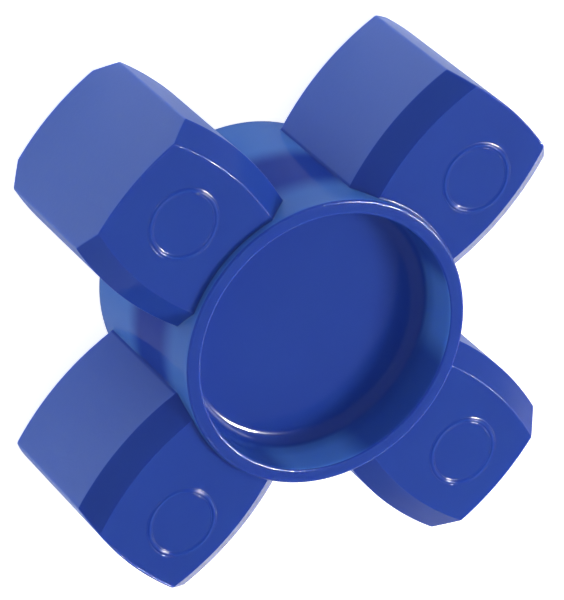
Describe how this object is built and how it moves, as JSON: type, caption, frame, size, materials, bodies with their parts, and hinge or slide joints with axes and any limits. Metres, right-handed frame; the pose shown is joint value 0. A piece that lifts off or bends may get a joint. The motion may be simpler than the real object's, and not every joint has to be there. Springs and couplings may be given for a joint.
{
  "type": "jaw coupling spider",
  "caption": "One-piece elastic spider for a jaw coupling: barrel-sided lobes around a webbed ring, which sit between the jaws of two hubs and cushion the drive.",
  "frame": {"origin": "on the spider's axis, in the plane of the ring's back end face, on which the spider rests", "axes": "+Z along the coupling's axis, towards the shallow front recess and the ejector pins' fine rings; the lobes lie along +X, +Y, -X and -Y"},
  "size_m": [0.03, 0.03, 0.0107],
  "materials": {
    "polyurethane": "semi-gloss translucent blue moulded polyurethane"
  },
  "bodies": {
    "root": {"spider": "polyurethane"}
  },
  "joints": []
}
